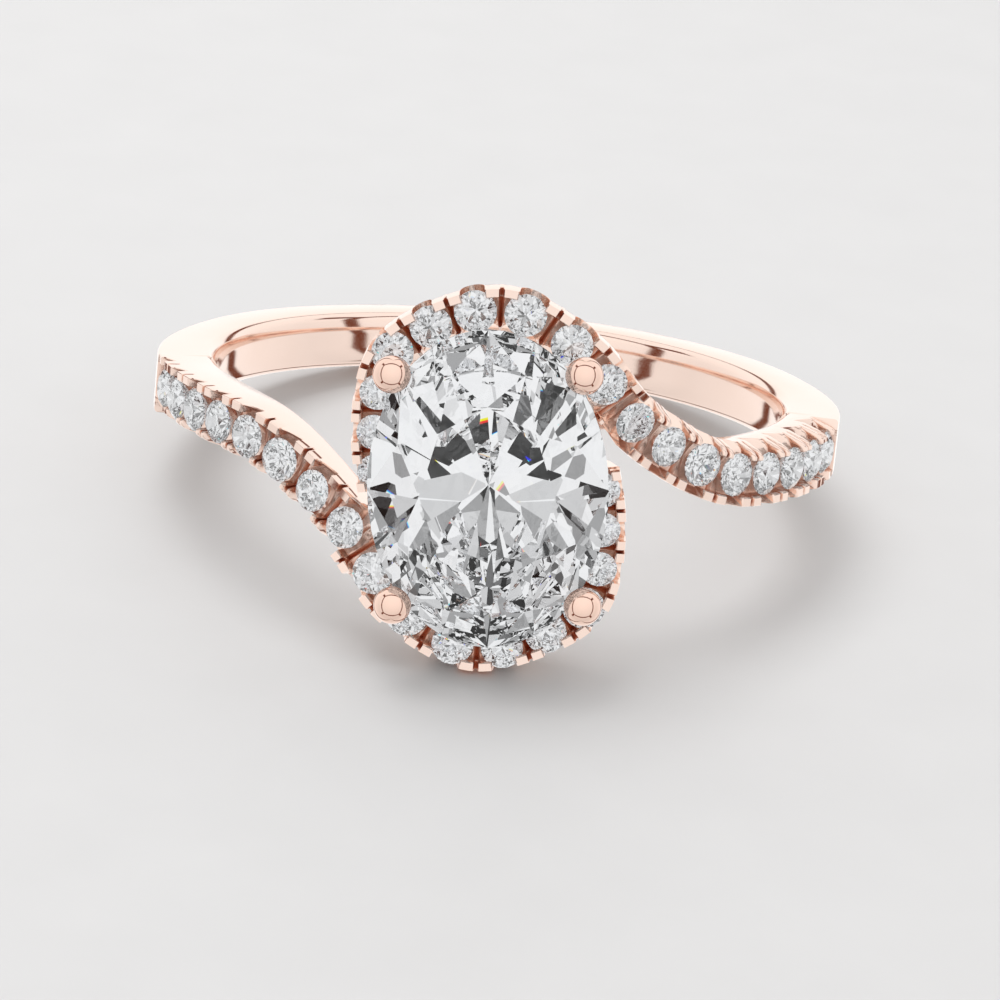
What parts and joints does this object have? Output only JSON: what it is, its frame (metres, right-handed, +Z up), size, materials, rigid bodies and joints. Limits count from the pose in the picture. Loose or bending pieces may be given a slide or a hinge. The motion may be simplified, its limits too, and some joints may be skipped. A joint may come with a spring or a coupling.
{
  "type": "halo ring",
  "caption": "Rose-gold bypass ring lying on its side: two pave arms sweep past an oval stone in round-tipped prongs and close round it as a halo.",
  "frame": {"origin": "middle of the bounding box, on the plane that the ring rests on", "axes": "+Z up from that plane, -Y out of the head (the head leans up by 13 degrees), +X across the band to the right as the head is faced"},
  "size_m": [0.0208, 0.0228, 0.0108],
  "materials": {
    "rose_gold": "polished rose gold",
    "center_diamond": "polished, oval brilliant cut",
    "pave_diamond": "polished, round brilliant cut"
  },
  "bodies": {
    "root": {"ring_setting": "rose_gold", "center_stone": "center_diamond", "halo_stone_01": "pave_diamond", "halo_stone_02": "pave_diamond", "halo_stone_03": "pave_diamond", "halo_stone_04": "pave_diamond", "halo_stone_05": "pave_diamond", "halo_stone_06": "pave_diamond", "halo_stone_07": "pave_diamond", "halo_stone_08": "pave_diamond", "halo_stone_09": "pave_diamond", "halo_stone_10": "pave_diamond", "halo_stone_11": "pave_diamond", "halo_stone_12": "pave_diamond", "halo_stone_13": "pave_diamond", "halo_stone_14": "pave_diamond", "halo_stone_15": "pave_diamond", "halo_stone_16": "pave_diamond", "halo_stone_17": "pave_diamond", "halo_stone_18": "pave_diamond", "arm_stone_01": "pave_diamond", "arm_stone_02": "pave_diamond", "arm_stone_03": "pave_diamond", "arm_stone_04": "pave_diamond", "arm_stone_05": "pave_diamond", "arm_stone_06": "pave_diamond", "arm_stone_07": "pave_diamond", "arm_stone_08": "pave_diamond", "arm_stone_09": "pave_diamond", "arm_stone_10": "pave_diamond", "arm_stone_11": "pave_diamond", "arm_stone_12": "pave_diamond", "arm_stone_13": "pave_diamond", "arm_stone_14": "pave_diamond", "arm_stone_15": "pave_diamond", "arm_stone_16": "pave_diamond"}
  },
  "joints": []
}
